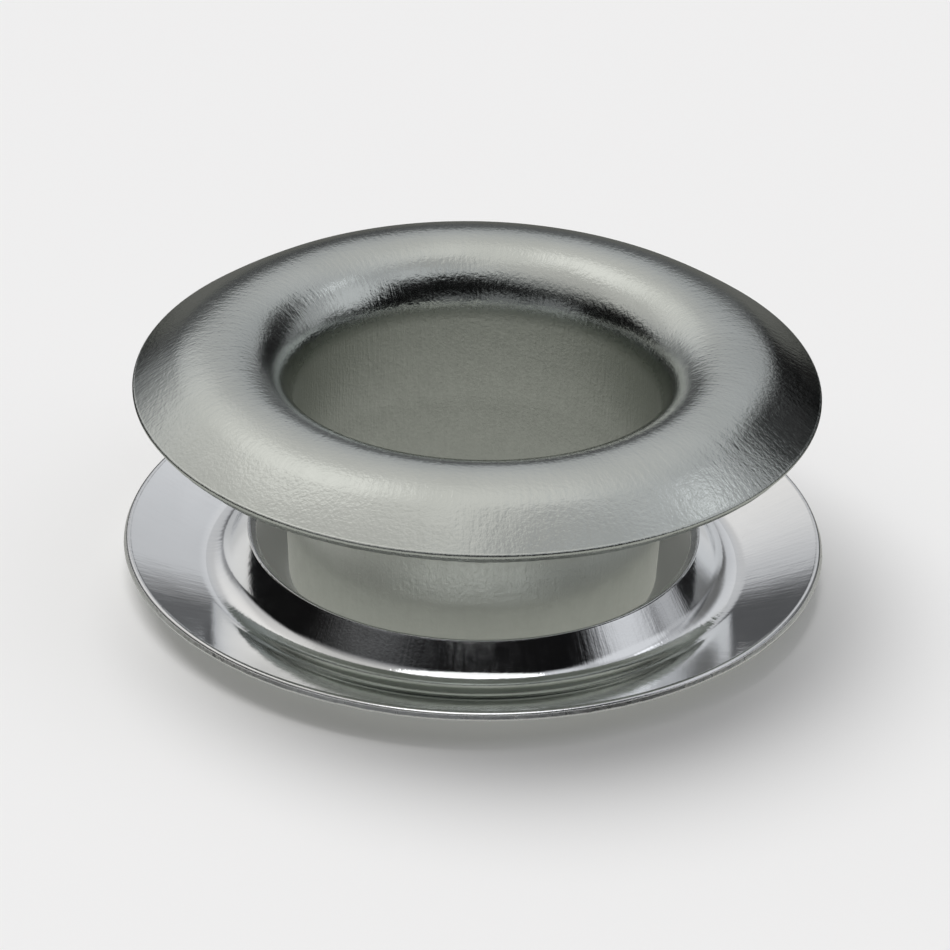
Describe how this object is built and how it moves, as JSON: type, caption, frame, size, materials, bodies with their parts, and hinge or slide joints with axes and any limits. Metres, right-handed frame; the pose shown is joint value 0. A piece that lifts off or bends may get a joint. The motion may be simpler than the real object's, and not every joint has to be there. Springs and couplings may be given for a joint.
{
  "type": "grommet eyelet",
  "caption": "Round metal grommet eyelet with a domed flange and a barrel that stands through a loose dished washer, for lining a hole in cloth or sheet.",
  "frame": {"origin": "on the common axis, at the level of the surface that the tip of the barrel and the washer stand on", "axes": "+Z along the axis of both pieces, from the tip of the barrel up to the domed flange"},
  "size_m": [0.0195, 0.0194, 0.007],
  "materials": {
    "satin_nickel": "fine satin nickel plate on pressed steel, slightly warm grey",
    "bright_nickel": "bright nickel plate on pressed steel"
  },
  "bodies": {
    "root": {"eyelet": "satin_nickel", "washer": "bright_nickel"}
  },
  "joints": []
}
